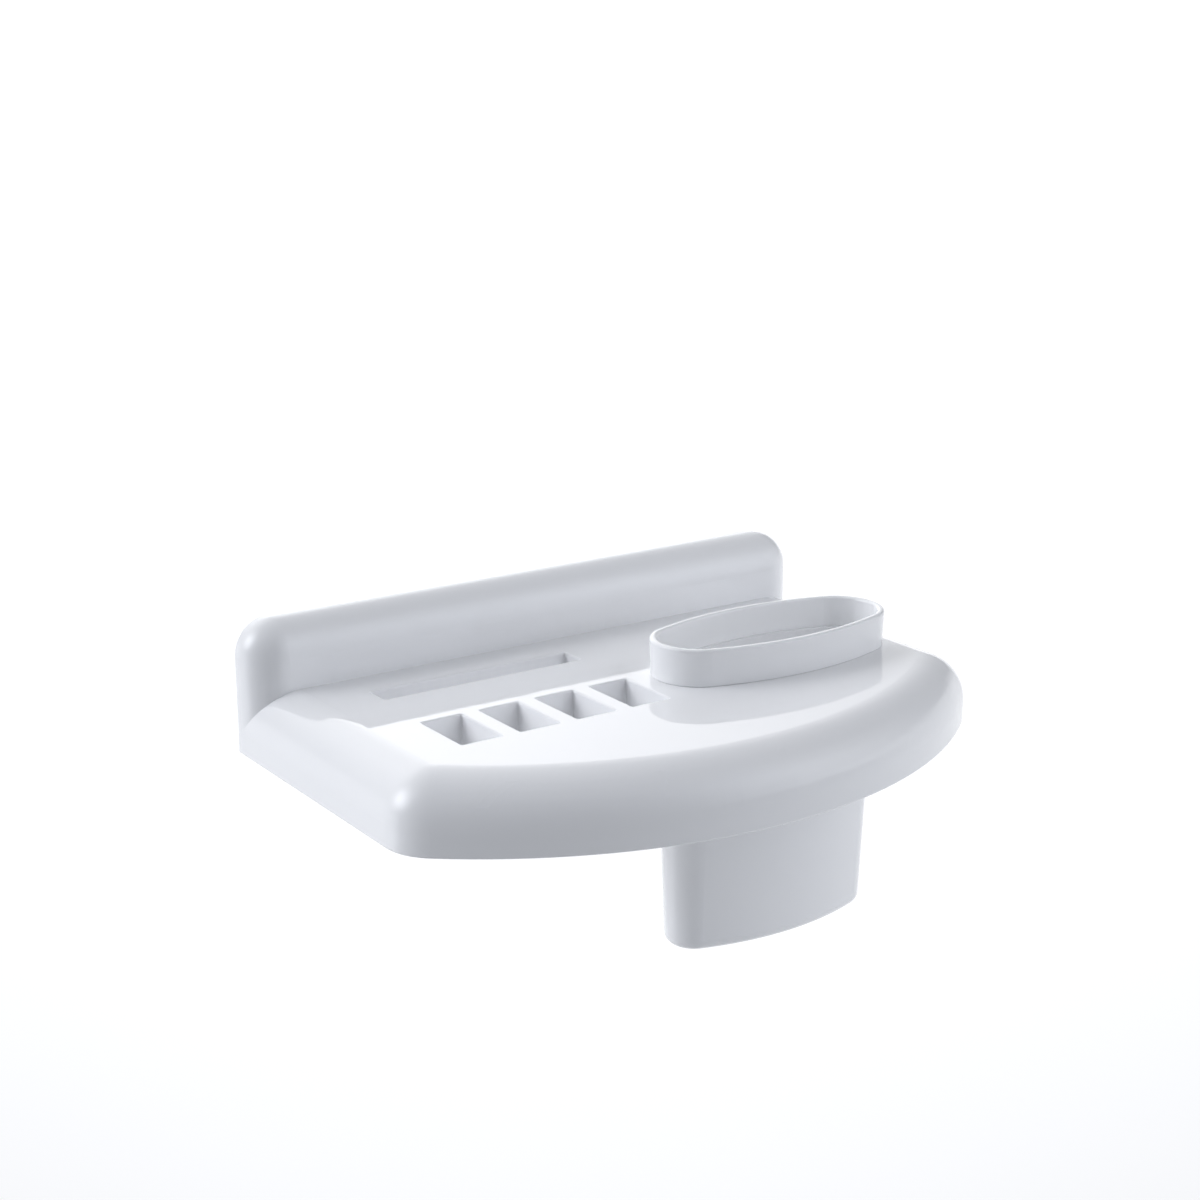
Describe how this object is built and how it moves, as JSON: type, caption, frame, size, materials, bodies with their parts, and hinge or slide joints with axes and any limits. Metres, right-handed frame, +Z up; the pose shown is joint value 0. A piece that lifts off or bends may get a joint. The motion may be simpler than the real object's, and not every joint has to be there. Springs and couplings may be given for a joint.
{
  "type": "wall-mounted toothbrush holder",
  "caption": "White moulded wall shelf with an upstand, rectangular brush holes, a paste slot and a lift-out tapered oval cup, hooked over a hidden wall bracket.",
  "frame": {"origin": "on the face of the wall, midway between the two fixing screws", "axes": "+X along the wall to the right, +Y into the wall, +Z up"},
  "size_m": [0.18, 0.154, 0.0958],
  "materials": {
    "shelf_gloss": "glossy white moulded plastic",
    "cup_gloss": "white moulded plastic, a little softer in gloss",
    "bracket_plastic": "plain pale grey moulded plastic",
    "screw_steel": "zinc-plated steel",
    "plug_nylon": "grey nylon"
  },
  "bodies": {
    "bracket": {"wall_bracket": "bracket_plastic", "wall_screw_left": "screw_steel", "wall_screw_right": "screw_steel", "wall_plug_left": "plug_nylon", "wall_plug_right": "plug_nylon"},
    "shelf": {"shelf_body": "shelf_gloss"},
    "cup": {"cup": "cup_gloss"}
  },
  "joints": [
    {"name": "shelf_lift", "type": "slide", "parent": "bracket", "child": "shelf", "axis": [0, 0, 1], "range_m": [0, 0.008]},
    {"name": "cup_lift", "type": "slide", "parent": "shelf", "child": "cup", "axis": [0, 0, 1], "range_m": [0, 0.1]}
  ]
}
